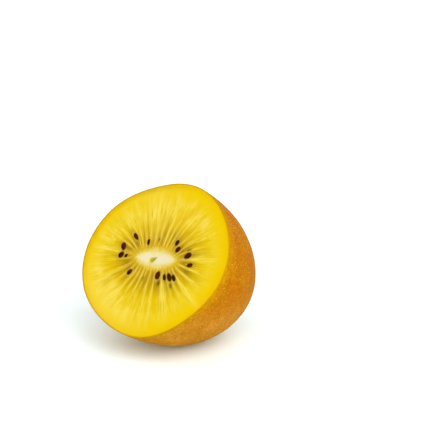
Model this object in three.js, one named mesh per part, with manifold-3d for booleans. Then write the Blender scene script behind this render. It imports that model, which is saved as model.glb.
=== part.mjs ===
// Half of a golden kiwifruit, cut across its length and resting on its flank.
//
// Millimetres, +Z up. The origin is on the flat spot that the half rests on. The cut face looks
// to -Y and upward, +X runs along it to the right, and the uncut end points to +Y.
//
// Points on the fruit are first given in its own terms: "across" and "up" in the cut face, from
// its centre, and "deep" from the cut face towards the uncut end.

import * as THREE from 'three';
import { mergeVertices } from 'three/addons/utils/BufferGeometryUtils.js';
import Module from 'manifold-3d';

// --- Driving dimensions -------------------------------------------------------------------

const FACE_RADIUS = 25.0;          // mean radius of the cut face
const HALF_LENGTH = 38.5;          // cut face to uncut end
const FACE_EXPONENT = 1.95;        // superellipse powers of the lengthwise profile
const END_EXPONENT = 2.23;
const SECTION_WAVES = [            // how the section differs from a circle, fading to the end
  { lobes: 2, size: 0.057, turn: 16 },
  { lobes: 3, size: 0.015, turn: 55 },
  { lobes: 4, size: 0.010, turn: 0 },
  { lobes: 5, size: 0.008, turn: -2 },
];

const FACE_TILT = 59.1;            // the cut face's normal, in degrees from the vertical
const FACE_CENTRE_HEIGHT = 28.95;  // low enough for 0.4 mm of the underside to be flattened
const FACE_CENTRE_FORWARD = 13.8;

const SKIN_THICKNESS = 0.7;
const GAP = 0.3;                   // clearance between skin, flesh and core

const CORE_HALF_WIDTH = 7.8;       // the core's section in the cut face
const CORE_HALF_HEIGHT = 2.1;
const CORE_CENTRE = { across: 0.3, up: 0.25 };
const CORE_TURN = 4;               // degrees, from "across" towards "up"
const CORE_DEPTH = 32;
const CORE_TAPER = 1.6;            // power of its profile: 1 gives a cone, 2 a paraboloid
const HOLLOW_OVERCUT = 1;          // how far its hollow is cut past the cut face

const PIT_HALF_WIDTH = 1.2;        // the small hollow near the middle of the core's face
const PIT_HALF_HEIGHT = 0.7;
const PIT_CENTRE = { across: -0.4, up: 0.1 };
const PIT_DEPTH = 0.6;

const SCAR_PIT_RADIUS = 1.9;       // stem scar at the uncut end
const SCAR_PIT_DEPTH = 1.0;
const SCAR_RIM_RADIUS = 3.1;
const SCAR_RIM_HEIGHT = 0.5;
const SCAR_RIM_WIDTH = 0.9;
const SCAR_BUMPS = 7;
const SCAR_BUMP_SHARE = 0.35;      // how much of the rim's height the bumps take

const SEED_HALF_THICKNESS = 0.55;
const SEED_PROUD = 0.35;           // how far a seed stands out of the cut face
const SEED_POINT = 0.35;           // how much narrower the end towards the core is

// Each seed sits on a ray that leaves the core's edge square to it: the ray's bearing round the
// core's ellipse, the seed's reach beyond the core's edge, its size, and its lean off the ray.
const SEEDS = [
  { bearing: 7, reach: 4.1, length: 2.4, width: 1.65, lean: 9 },
  { bearing: 34, reach: 2.4, length: 1.9, width: 1.4, lean: -19 },
  { bearing: 46, reach: 4.0, length: 1.8, width: 1.2, lean: -6 },
  { bearing: 118, reach: 2.7, length: 1.8, width: 0.9, lean: 0 },
  { bearing: 152, reach: 5.3, length: 2.5, width: 1.15, lean: 24 },
  { bearing: 174, reach: 5.5, length: 2.4, width: 1.65, lean: -47 },
  { bearing: 181, reach: 5.1, length: 2.1, width: 1.6, lean: 47 },
  { bearing: 182, reach: 3.2, length: 1.2, width: 0.8, lean: 37 },
  { bearing: 215, reach: 4.3, length: 2.0, width: 1.25, lean: -21 },
  { bearing: 288, reach: 3.0, length: 2.4, width: 1.6, lean: -5 },
  { bearing: 306, reach: 3.7, length: 1.9, width: 1.0, lean: 12 },
  { bearing: 319, reach: 3.9, length: 2.6, width: 1.4, lean: 20 },
  { bearing: 330, reach: 4.5, length: 2.1, width: 1.1, lean: 11 },
  { bearing: 358, reach: 5.3, length: 1.9, width: 1.15, lean: 18 },
];

const SIDES = 48;                  // facets round the fruit
const CORE_SIDES = 24;
const SEED_SIDES = 8;
const SEED_RINGS = 5;
const RING_STEP = 6;               // degrees of the lengthwise profile between rings
const END_ZONE = 78;               // past here the rings are closer, to carry the scar
const END_RING_STEP = 2;
const CORE_RINGS = 7;

// --- Frame --------------------------------------------------------------------------------

const { cos, sin, PI } = Math;
const radians = THREE.MathUtils.degToRad;
const CENTRE = new THREE.Vector2(0, 0);

const FACE_CENTRE = new THREE.Vector3(0, -FACE_CENTRE_FORWARD, FACE_CENTRE_HEIGHT);
const ACROSS = new THREE.Vector3(1, 0, 0);
const UP = new THREE.Vector3(0, cos(radians(FACE_TILT)), sin(radians(FACE_TILT)));
const DEEP = new THREE.Vector3(0, sin(radians(FACE_TILT)), -cos(radians(FACE_TILT)));

/** The point of the part's frame that is this far across, up and deep in the fruit. */
function place(across, up, deep) {
  return FACE_CENTRE.clone()
    .addScaledVector(ACROSS, across)
    .addScaledVector(UP, up)
    .addScaledVector(DEEP, deep);
}

// --- Shape of the fruit -------------------------------------------------------------------

/** The section's radius at an angle round the fruit, over its mean radius. */
function sectionShape(angle) {
  const waves = SECTION_WAVES.map(({ lobes, size, turn }) => size * cos(lobes * (angle - radians(turn))));
  return waves.reduce((sum, wave) => sum + wave, 1);
}

/** How far the stem scar pushes the surface out along the fruit's axis, at a radius from it. */
function scarRelief(radius, angle) {
  const bumps = 1 + SCAR_BUMP_SHARE * cos(SCAR_BUMPS * angle);
  const rim = SCAR_RIM_HEIGHT * bumps * Math.exp(-(((radius - SCAR_RIM_RADIUS) / SCAR_RIM_WIDTH) ** 2));
  const pit = SCAR_PIT_DEPTH * Math.exp(-((radius / SCAR_PIT_RADIUS) ** 4));
  return rim - pit;
}

/**
 * A point on the layer that lies `inset` under the fruit's surface. `profile` runs from 0 at the
 * cut face to a quarter turn at the uncut end. The layer is flattened where the fruit rests.
 */
function fruitPoint(angle, profile, inset) {
  const share = sin(profile) ** (2 / END_EXPONENT);
  const spread = cos(profile) ** (2 / FACE_EXPONENT);
  const section = 1 + (sectionShape(angle) - 1) * (1 - share * share);
  const radius = (FACE_RADIUS - inset) * spread * section;
  const depth = (HALF_LENGTH - inset) * share + scarRelief(radius, angle);
  const point = place(radius * cos(angle), radius * sin(angle), depth);
  point.z = Math.max(point.z, inset);
  return point;
}

/** Profile angles of the rings, from the cut face to just short of the uncut end. */
function ringProfiles() {
  const degrees = [];
  for (let at = 0; at < END_ZONE; at += RING_STEP) degrees.push(at);
  for (let at = END_ZONE; at < 90; at += END_RING_STEP) degrees.push(at);
  return degrees.map(radians);
}

/** One ring of points: `pointAt` is called with each of `count` angles round it. */
function ring(count, pointAt) {
  return Array.from({ length: count }, (_, index) => pointAt((2 * PI * index) / count));
}

/** The rings of a layer of the fruit, from the cut face to the uncut end. */
function layerRings(inset) {
  return ringProfiles().map((profile) => ring(SIDES, (angle) => fruitPoint(angle, profile, inset)));
}

/** The tip of a layer of the fruit, at the uncut end. */
function layerEnd(inset) {
  return fruitPoint(0, PI / 2, inset);
}

// --- Solids -------------------------------------------------------------------------------

/** A closed body through rings of equal count, with a point closing it at each end. */
function bodyThroughRings(first, rings, last) {
  const count = rings[0].length;
  const points = [first, ...rings.flat(), last];
  const lastRing = 1 + (rings.length - 1) * count;
  const index = [];
  for (let side = 0; side < count; side += 1) {
    const next = (side + 1) % count;
    index.push(0, 1 + side, 1 + next);
    for (let row = 1; row < lastRing; row += count) {
      index.push(row + side, row + count + side, row + count + next);
      index.push(row + side, row + count + next, row + next);
    }
    index.push(lastRing + side, points.length - 1, lastRing + next);
  }
  const geometry = new THREE.BufferGeometry().setFromPoints(points);
  geometry.setIndex(index);
  return geometry;
}

const wasm = await Module();
wasm.setup();

/** A manifold solid of a closed geometry. */
function toSolid(geometry) {
  const bare = geometry.clone();
  bare.deleteAttribute('normal');
  bare.deleteAttribute('uv');
  const merged = mergeVertices(bare);
  return new wasm.Manifold(new wasm.Mesh({
    numProp: 3,
    vertProperties: new Float32Array(merged.attributes.position.array),
    triVerts: new Uint32Array(merged.index.array),
  }));
}

/** The geometry of a manifold solid. */
function toGeometry(solid) {
  const { vertProperties, triVerts } = solid.getMesh();
  const geometry = new THREE.BufferGeometry();
  geometry.setAttribute('position', new THREE.BufferAttribute(new Float32Array(vertProperties), 3));
  geometry.setIndex(new THREE.BufferAttribute(new Uint32Array(triVerts), 1));
  return geometry;
}

/** The peel: a cup between the fruit's surface and the layer one skin thickness under it. */
function skinGeometry() {
  const outside = layerRings(0);
  const inside = layerRings(SKIN_THICKNESS);
  return bodyThroughRings(
    layerEnd(SKIN_THICKNESS),
    [...inside.reverse(), ...outside],
    layerEnd(0),
  );
}

/** A point of the core's section, `margin` outside its edge, `share` of the way out from its middle. */
function corePoint(angle, depth, share, margin) {
  const x = (CORE_HALF_WIDTH * share + margin) * cos(angle);
  const y = (CORE_HALF_HEIGHT * share + margin) * sin(angle);
  const turn = radians(CORE_TURN);
  return place(
    CORE_CENTRE.across + x * cos(turn) - y * sin(turn),
    CORE_CENTRE.up + x * sin(turn) + y * cos(turn),
    depth,
  );
}

/** The core's rings below its edge, or, with a margin, those of the hollow that it sits in. */
function coreRings(margin) {
  return Array.from({ length: CORE_RINGS }, (_, index) => {
    const along = index / CORE_RINGS;
    const share = 1 - along ** CORE_TAPER;
    return ring(CORE_SIDES, (angle) => corePoint(angle, along * CORE_DEPTH, share, margin));
  });
}

/** The core: a tapering spindle with a small pit near the middle of its face. */
function coreGeometry() {
  const pitEdge = ring(CORE_SIDES, (angle) => place(
    PIT_CENTRE.across + PIT_HALF_WIDTH * cos(angle),
    PIT_CENTRE.up + PIT_HALF_HEIGHT * sin(angle),
    0,
  ));
  return bodyThroughRings(
    place(PIT_CENTRE.across, PIT_CENTRE.up, PIT_DEPTH),
    [pitEdge, ...coreRings(0)],
    corePoint(0, CORE_DEPTH, 0, 0),
  );
}

/** The hollow in the flesh for the core, opened a little past the cut face. */
function coreHollow() {
  const mouth = ring(CORE_SIDES, (angle) => corePoint(angle, -HOLLOW_OVERCUT, 1, GAP));
  return toSolid(bodyThroughRings(
    corePoint(0, -HOLLOW_OVERCUT, 0, 0),
    [mouth, ...coreRings(GAP)],
    corePoint(0, CORE_DEPTH + GAP, 0, 0),
  ));
}

/** One seed: an egg lying in the cut face, its narrow end towards the core. */
function seedSolid({ bearing, reach, length, width, lean }) {
  const angle = radians(bearing);
  const outward = new THREE.Vector2(CORE_HALF_HEIGHT * cos(angle), CORE_HALF_WIDTH * sin(angle))
    .normalize();
  const centre = new THREE.Vector2(CORE_HALF_WIDTH * cos(angle), CORE_HALF_HEIGHT * sin(angle))
    .addScaledVector(outward, reach)
    .rotateAround(CENTRE, radians(CORE_TURN));
  const direction = outward.angle() + radians(CORE_TURN + lean);

  const egg = new THREE.SphereGeometry(1, SEED_SIDES, SEED_RINGS).rotateZ(PI / 2);
  const corners = egg.attributes.position;
  const corner = new THREE.Vector3();
  for (let index = 0; index < corners.count; index += 1) {
    corner.fromBufferAttribute(corners, index);
    const halfWidth = (width / 2) * (1 + SEED_POINT * corner.x);
    const spot = new THREE.Vector2((corner.x * length) / 2, corner.y * halfWidth)
      .rotateAround(CENTRE, direction)
      .add(centre);
    const placed = place(
      CORE_CENTRE.across + spot.x,
      CORE_CENTRE.up + spot.y,
      SEED_HALF_THICKNESS * (1 - corner.z) - SEED_PROUD,
    );
    corners.setXYZ(index, placed.x, placed.y, placed.z);
  }
  return toSolid(egg);
}

/** The flesh: it fills the skin, is hollow for the core and carries the seeds. */
function fleshGeometry() {
  const inset = SKIN_THICKNESS + GAP;
  const filling = toSolid(bodyThroughRings(place(0, 0, 0), layerRings(inset), layerEnd(inset)));
  const hollowed = filling.subtract(coreHollow());
  return toGeometry(SEEDS.map(seedSolid).reduce((flesh, seed) => flesh.add(seed), hollowed));
}

// --- The half fruit -----------------------------------------------------------------------

/** A named mesh with a material of its own. */
function piece(name, geometry, color, roughness) {
  geometry.computeVertexNormals();
  const mesh = new THREE.Mesh(geometry, new THREE.MeshStandardMaterial({ color, roughness, metalness: 0 }));
  mesh.name = name;
  return mesh;
}

const kiwifruitHalf = new THREE.Group();
kiwifruitHalf.name = 'kiwifruit_half';
kiwifruitHalf.add(
  piece('skin', skinGeometry(), 0xb5772a, 0.65),
  piece('flesh', fleshGeometry(), 0xf2cf1a, 0.35),
  piece('core', coreGeometry(), 0xf4ecc4, 0.45),
);

export default kiwifruitHalf;
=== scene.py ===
"""Half of a golden kiwifruit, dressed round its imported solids.

Lengths are in metres, +Z up, with the origin on the flat spot that the half rests on. Points on the
fruit are given as in its solids: "across" and "up" in the cut face, from its centre, and "deep" from
the cut face towards the uncut end.
"""

from __future__ import annotations

import logging
import math
from dataclasses import astuple, dataclass
from enum import Enum

import bpy
import numpy as np
from mathutils import Matrix, Vector, noise


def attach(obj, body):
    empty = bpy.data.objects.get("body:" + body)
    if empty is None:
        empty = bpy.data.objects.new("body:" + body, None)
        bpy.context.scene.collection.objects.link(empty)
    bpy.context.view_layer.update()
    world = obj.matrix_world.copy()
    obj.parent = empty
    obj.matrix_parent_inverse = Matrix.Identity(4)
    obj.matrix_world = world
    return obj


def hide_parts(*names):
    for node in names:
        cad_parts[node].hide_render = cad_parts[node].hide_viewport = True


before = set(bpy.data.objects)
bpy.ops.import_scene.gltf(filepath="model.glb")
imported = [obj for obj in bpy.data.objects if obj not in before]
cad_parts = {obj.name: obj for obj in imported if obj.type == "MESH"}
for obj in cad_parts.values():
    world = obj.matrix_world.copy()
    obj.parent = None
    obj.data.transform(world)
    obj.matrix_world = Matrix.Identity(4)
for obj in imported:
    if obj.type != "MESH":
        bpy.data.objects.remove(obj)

MM = 0.001
BODY = "root"
TURN = 2 * math.pi
FINE_DETAIL = 3.0

log = logging.getLogger("kiwifruit_half")

Colour = tuple[float, float, float]
Stops = tuple[tuple[float, Colour], ...]
Band = tuple[float, float]
Line = tuple[float, float]


class Slot(Enum):
    """Names of the material slots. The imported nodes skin, flesh and core have the same names."""

    SKIN = "skin"
    FLESH = "flesh"
    CORE = "core"
    SEED = "seed"


class Maths(Enum):
    """The Math node's operations that Value uses."""

    ADD = "ADD"
    SUBTRACT = "SUBTRACT"
    MULTIPLY = "MULTIPLY"
    DIVIDE = "DIVIDE"


# --- Form of the fruit --------------------------------------------------------------------


def along_and_aside(across: np.ndarray, up: np.ndarray, centre: tuple[float, float],
                    turn: float) -> tuple[np.ndarray, np.ndarray]:
    """Measures places in the cut face along a direction and square to it.

    Args:
        across: how far across the face each place is.
        up: how far up it each place is.
        centre: where the measuring starts, across and up.
        turn: the direction, in radians from "across" towards "up".

    Returns:
        How far along and how far aside each place is.
    """
    x, y = across - centre[0], up - centre[1]
    cos, sin = math.cos(turn), math.sin(turn)
    return x * cos + y * sin, y * cos - x * sin


def apart(first: np.ndarray | float, second: float) -> np.ndarray | float:
    """How far bearings are past another, from -180 to 180 degrees."""
    return (first - second + 180) % 360 - 180


@dataclass(frozen=True)
class Wave:
    """One way in which the fruit's section differs from a circle.

    Args:
        lobes: how many times it swells round the section.
        size: its height as a share of the mean radius.
        turn: where its first swelling lies, in degrees.
    """

    lobes: int
    size: float
    turn: float


@dataclass(frozen=True)
class FruitForm:
    """The fruit's outer form, as its solids have it."""

    face_radius: float = 25.0 * MM
    half_length: float = 38.5 * MM
    face_exponent: float = 1.95
    end_exponent: float = 2.23
    waves: tuple[Wave, ...] = (
        Wave(2, 0.057, 16),
        Wave(3, 0.015, 55),
        Wave(4, 0.010, 0),
        Wave(5, 0.008, -2),
    )
    face_tilt: float = 59.1
    face_centre: tuple[float, float, float] = (0.0, -13.8 * MM, 28.95 * MM)
    scar_pit_radius: float = 1.9 * MM
    scar_pit_depth: float = 1.0 * MM
    scar_rim_radius: float = 3.1 * MM
    scar_rim_height: float = 0.5 * MM
    scar_rim_width: float = 0.9 * MM
    scar_bumps: int = 7
    scar_bump_share: float = 0.35

    @property
    def across(self) -> np.ndarray:
        """Unit vector to the right in the cut face."""
        return np.array((1.0, 0.0, 0.0))

    @property
    def up(self) -> np.ndarray:
        """Unit vector up the cut face."""
        tilt = math.radians(self.face_tilt)
        return np.array((0.0, math.cos(tilt), math.sin(tilt)))

    @property
    def deep(self) -> np.ndarray:
        """Unit vector from the cut face into the fruit."""
        tilt = math.radians(self.face_tilt)
        return np.array((0.0, math.sin(tilt), -math.cos(tilt)))

    def place(self, across: np.ndarray, up: np.ndarray, deep: np.ndarray) -> np.ndarray:
        """Points of the frame, from distances right of the cut face's centre, up it and into the fruit."""
        across, up, deep = (np.asarray(part, dtype=float)[..., None] for part in (across, up, deep))
        return np.array(self.face_centre) + across * self.across + up * self.up + deep * self.deep

    def section(self, angle: np.ndarray) -> np.ndarray:
        """The section's radius at angles round the fruit, over its mean radius."""
        swell = (wave.size * np.cos(wave.lobes * (angle - math.radians(wave.turn))) for wave in self.waves)
        return 1 + sum(swell)

    def scar_relief(self, radius: np.ndarray, angle: np.ndarray) -> np.ndarray:
        """How far the stem scar pushes the surface out along the fruit's axis.

        Args:
            radius: distances from the fruit's axis.
            angle: angles round the fruit.

        Returns:
            The distances outwards, less than 0 in the scar's pit.
        """
        bumps = 1 + self.scar_bump_share * np.cos(self.scar_bumps * angle)
        rim = np.exp(-(((radius - self.scar_rim_radius) / self.scar_rim_width) ** 2))
        pit = np.exp(-((radius / self.scar_pit_radius) ** 4))
        return self.scar_rim_height * bumps * rim - self.scar_pit_depth * pit

    def layer(self, angle: np.ndarray, profile: np.ndarray, inset: float, rest: float) -> np.ndarray:
        """Points on a layer under the fruit's surface.

        Args:
            angle: angles round the fruit.
            profile: from 0 at the cut face to a quarter turn at the uncut end.
            inset: how far the layer lies under the surface.
            rest: the height at which the layer is flattened under the fruit.

        Returns:
            The points, with x, y and z along the last axis.
        """
        angle, profile = np.broadcast_arrays(angle, profile)
        share = np.sin(profile) ** (2 / self.end_exponent)
        spread = np.cos(profile).clip(0) ** (2 / self.face_exponent)
        section = 1 + (self.section(angle) - 1) * (1 - share**2)
        radius = (self.face_radius - inset) * spread * section
        depth = (self.half_length - inset) * share + self.scar_relief(radius, angle)
        points = self.place(radius * np.cos(angle), radius * np.sin(angle), depth)
        points[..., 2] = points[..., 2].clip(rest)
        return points


@dataclass(frozen=True)
class CoreForm:
    """The core's section in the cut face, and the rays that leave its edge.

    The rays are the hyperbolas that share their two foci with the core's ellipse, so each one
    leaves the core square to its edge and then runs nearly straight.
    """

    half_width: float = 7.8 * MM
    half_height: float = 2.1 * MM
    centre: tuple[float, float] = (0.3 * MM, 0.25 * MM)
    turn: float = 4.0
    depth: float = 32.0 * MM
    taper: float = 1.6

    @property
    def focus(self) -> float:
        """Distance of each focus from the core's centre."""
        return math.sqrt(self.half_width**2 - self.half_height**2)

    @property
    def edge(self) -> float:
        """The elliptic coordinate of the core's edge."""
        return math.atanh(self.half_height / self.half_width)

    def turned(self, x: np.ndarray, y: np.ndarray) -> tuple[np.ndarray, np.ndarray]:
        """Places across and up the cut face, from places along and square to the core's width."""
        cos, sin = math.cos(math.radians(self.turn)), math.sin(math.radians(self.turn))
        return self.centre[0] + x * cos - y * sin, self.centre[1] + x * sin + y * cos

    def on_ray(self, bearing: np.ndarray, out: np.ndarray) -> tuple[np.ndarray, np.ndarray]:
        """Places in the cut face on rays.

        Args:
            bearing: the rays' bearings round the core, in radians.
            out: elliptic coordinates, from `edge` at the core's edge.

        Returns:
            How far across and up each place is.
        """
        x = self.focus * np.cosh(out) * np.cos(bearing)
        y = self.focus * np.sinh(out) * np.sin(bearing)
        return self.turned(x, y)

    def bearing_at(self, across: np.ndarray, up: np.ndarray) -> tuple[np.ndarray, np.ndarray]:
        """The ray through each place in the cut face, and how far out on it the place is.

        Args:
            across: how far across the face each place is.
            up: how far up it each place is.

        Returns:
            The bearings in radians and the elliptic coordinates.
        """
        along, aside = along_and_aside(across, up, self.centre, math.radians(self.turn))
        place = np.arccosh((along + 1j * aside) / self.focus)
        return place.imag, place.real

    def inside(self, angle: np.ndarray, share: np.ndarray, margin: float) -> tuple[np.ndarray, np.ndarray]:
        """Places in the core's section, `share` of the way out from its middle."""
        x = (self.half_width * share + margin) * np.cos(angle)
        y = (self.half_height * share + margin) * np.sin(angle)
        return self.turned(x, y)


@dataclass(frozen=True)
class Seed:
    """One seed of the ring round the core.

    Args:
        bearing: where its ray leaves the core's ellipse, in degrees.
        reach: how far it is from the core's edge, square to it, in millimetres.
        length: its length, in millimetres.
        width: its width, in millimetres.
        lean: its turn off the ray, in degrees.
        strength: how dark it shows, for one that lies under the cut.
        veil: how much flesh lies over it, for one that the cut only grazes.
    """

    bearing: float
    reach: float
    length: float
    width: float
    lean: float
    strength: float = 1.0
    veil: float = 0.0

    def spot(self, core: CoreForm) -> tuple[float, float, float]:
        """Where the seed lies in the cut face.

        Args:
            core: the core that the seeds stand round.

        Returns:
            How far across and up its middle is, and its direction in radians.
        """
        angle = math.radians(self.bearing)
        outward = Vector((core.half_height * math.cos(angle), core.half_width * math.sin(angle))).normalized()
        x = core.half_width * math.cos(angle) + outward.x * self.reach * MM
        y = core.half_height * math.sin(angle) + outward.y * self.reach * MM
        across, up = core.turned(x, y)
        return across, up, math.atan2(outward.y, outward.x) + math.radians(core.turn + self.lean)

    def away(self, core: CoreForm, across: np.ndarray, up: np.ndarray) -> np.ndarray:
        """How far places are from the seed: 0 at its middle, 1 at its edge."""
        x, y, direction = self.spot(core)
        along, aside = along_and_aside(across, up, (x, y), direction)
        return np.hypot(along / (self.length * MM / 2), aside / (self.width * MM / 2))


@dataclass(frozen=True)
class Ray:
    """A pale ray of the cut face, and the darker pocket that follows it anticlockwise.

    Args:
        bearing: its bearing round the core, in degrees.
        strength: how pale it is.
        reach: how far out it ends, as a share of the way to the peel.
        pocket: how dark the pocket is.
        pocket_reach: how far out the pocket ends.
        breadth: its half breadth, in degrees.
    """

    bearing: float
    strength: float
    reach: float
    pocket: float
    pocket_reach: float
    breadth: float = 2.0


@dataclass(frozen=True)
class RayFan:
    """The rays of the cut face: nearly even round the core, and clear of the seeds.

    Args:
        bold: the rays that stand out, which are placed one by one.
        count: how many rays an even fan has.
        jitter: how far chance moves a ray, as a share of the step between two rays.
        seed_clearance: the least distance from a seed's own bearing, as a share of the step.
        bold_clearance: the least distance from a bold ray, as a share of the step.
        least: the least strength, reach, pocket and pocket reach.
        most: the most strength, reach, pocket and pocket reach.
        random_seed: what chance starts from.
    """

    bold: tuple[Ray, ...]
    count: int = 36
    jitter: float = 0.2
    seed_clearance: float = 0.44
    bold_clearance: float = 0.6
    least: tuple[float, float, float, float] = (0.5, 0.5, 0.5, 0.35)
    most: tuple[float, float, float, float] = (0.8, 0.8, 1.0, 0.7)
    random_seed: int = 5

    def rays(self, core: CoreForm, seeds: tuple[Seed, ...]) -> tuple[Ray, ...]:
        """Works out the rays.

        Args:
            core: the core that they leave.
            seeds: the seeds that lie between them.

        Returns:
            The rays, in the order of their bearings.
        """
        chance = np.random.default_rng(self.random_seed)
        step = 360 / self.count
        clear, clear_of_bold = self.seed_clearance * step, self.bold_clearance * step
        beds = [math.degrees(float(core.bearing_at(*seed.spot(core)[:2])[0])) for seed in seeds]
        fan = list(self.bold)
        for index in range(self.count):
            bearing = (index + chance.uniform(-self.jitter, self.jitter)) * step
            looks = chance.uniform(self.least, self.most)
            for bed in beds:
                off = apart(bearing, bed)
                if abs(off) < clear:
                    bearing = bed + math.copysign(clear, off)
            if all(abs(apart(bearing, ray.bearing)) > clear_of_bold for ray in self.bold):
                fan.append(Ray(bearing % 360, *looks))
        return tuple(sorted(fan, key=lambda ray: ray.bearing))


@dataclass(frozen=True)
class Patch:
    """A soft patch of another tint in the ring of pockets.

    Args:
        bearing: its bearing round the core, in degrees.
        outward: how far out it is, as a share of the way to the peel.
        breadth: its half width, in degrees of bearing.
        height: its half height, as a share of the way to the peel.
        strength: how strong its tint is, less than 0 where it takes tint away.
    """

    bearing: float
    outward: float
    breadth: float
    height: float
    strength: float

    def share(self, bearing: np.ndarray, outward: np.ndarray) -> np.ndarray:
        """How much of the patch's tint each place has."""
        aside = apart(np.degrees(bearing), self.bearing) / self.breadth
        return self.strength * np.exp(-(aside**2) - ((outward - self.outward) / self.height) ** 2)


# --- Node trees ---------------------------------------------------------------------------


class Value:
    """A number in a node tree. Arithmetic on it adds the Math nodes that work it out."""

    def __init__(self, tree: Tree, socket: bpy.types.NodeSocket) -> None:
        """Wraps an output socket of a tree's node."""
        self.tree = tree
        self.socket = socket

    def __add__(self, other: Number) -> Value:
        """Sum of two numbers."""
        return self.tree.math(Maths.ADD, self, other)

    def __radd__(self, other: Number) -> Value:
        """Sum of two numbers."""
        return self.tree.math(Maths.ADD, other, self)

    def __sub__(self, other: Number) -> Value:
        """Difference of two numbers."""
        return self.tree.math(Maths.SUBTRACT, self, other)

    def __rsub__(self, other: Number) -> Value:
        """Difference of two numbers, this one taken away."""
        return self.tree.math(Maths.SUBTRACT, other, self)

    def __mul__(self, other: Number) -> Value:
        """Product of two numbers."""
        return self.tree.math(Maths.MULTIPLY, self, other)

    def __truediv__(self, other: Number) -> Value:
        """Quotient of two numbers."""
        return self.tree.math(Maths.DIVIDE, self, other)

    def on_line(self, slope: float, start: float) -> Value:
        """The number times `slope`, plus `start`."""
        return self * slope + start


Number = Value | float


class Tree:
    """A node tree that is built from Python."""

    def __init__(self, nodes: bpy.types.NodeTree) -> None:
        """Starts from an empty tree."""
        self.nodes = nodes
        self.nodes.nodes.clear()

    def node(self, kind: str, settings: dict | None = None, sockets: dict | None = None) -> bpy.types.Node:
        """Adds a node.

        Args:
            kind: the node's type.
            settings: its properties, set first; "stops" are a colour ramp's places and colours.
            sockets: its input sockets' values or links, by name or by place.

        Returns:
            The node.
        """
        made = self.nodes.nodes.new(kind)
        for name, setting in (settings or {}).items():
            if name == "stops":
                self._set_stops(made.color_ramp.elements, setting)
            else:
                setattr(made, name, setting)
        for name, given in (sockets or {}).items():
            self._feed(made.inputs[name], given)
        return made

    @staticmethod
    def _set_stops(stops: bpy.types.ColorRampElements, wanted: Stops) -> None:
        """Gives a colour ramp its stops.

        Args:
            stops: the ramp's own stops.
            wanted: the places and colours to give them.
        """
        while len(stops) < len(wanted):
            stops.new(1.0)
        for stop, (place, colour) in zip(stops, wanted):
            stop.position = place
            stop.color = (*colour, 1.0)

    def _feed(self, socket: bpy.types.NodeSocket, given: object) -> None:
        """Links a socket, or sets its value.

        Args:
            socket: the input socket.
            given: a number in the tree or an output socket to link, or a plain value.
        """
        if isinstance(given, Value):
            given = given.socket
        if isinstance(given, bpy.types.NodeSocket):
            self.nodes.links.new(given, socket)
        else:
            socket.default_value = given

    def value(self, node: bpy.types.Node, output: str | int = 0) -> Value:
        """One of a node's outputs, as a number to work with."""
        return Value(self, node.outputs[output])

    def math(self, operation: Maths, *operands: Number) -> Value:
        """A Math node on numbers."""
        settings = {"operation": operation.value}
        return self.value(self.node("ShaderNodeMath", settings, dict(enumerate(operands))))

    def ramp(self, number: Number, low: float, high: float) -> Value:
        """A smooth step: 0 where the number is at `low`, 1 where it is at `high`."""
        sockets = {"Value": number, "From Min": low, "From Max": high}
        return self.value(self.node("ShaderNodeMapRange", {"interpolation_type": "SMOOTHSTEP"}, sockets))


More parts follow.
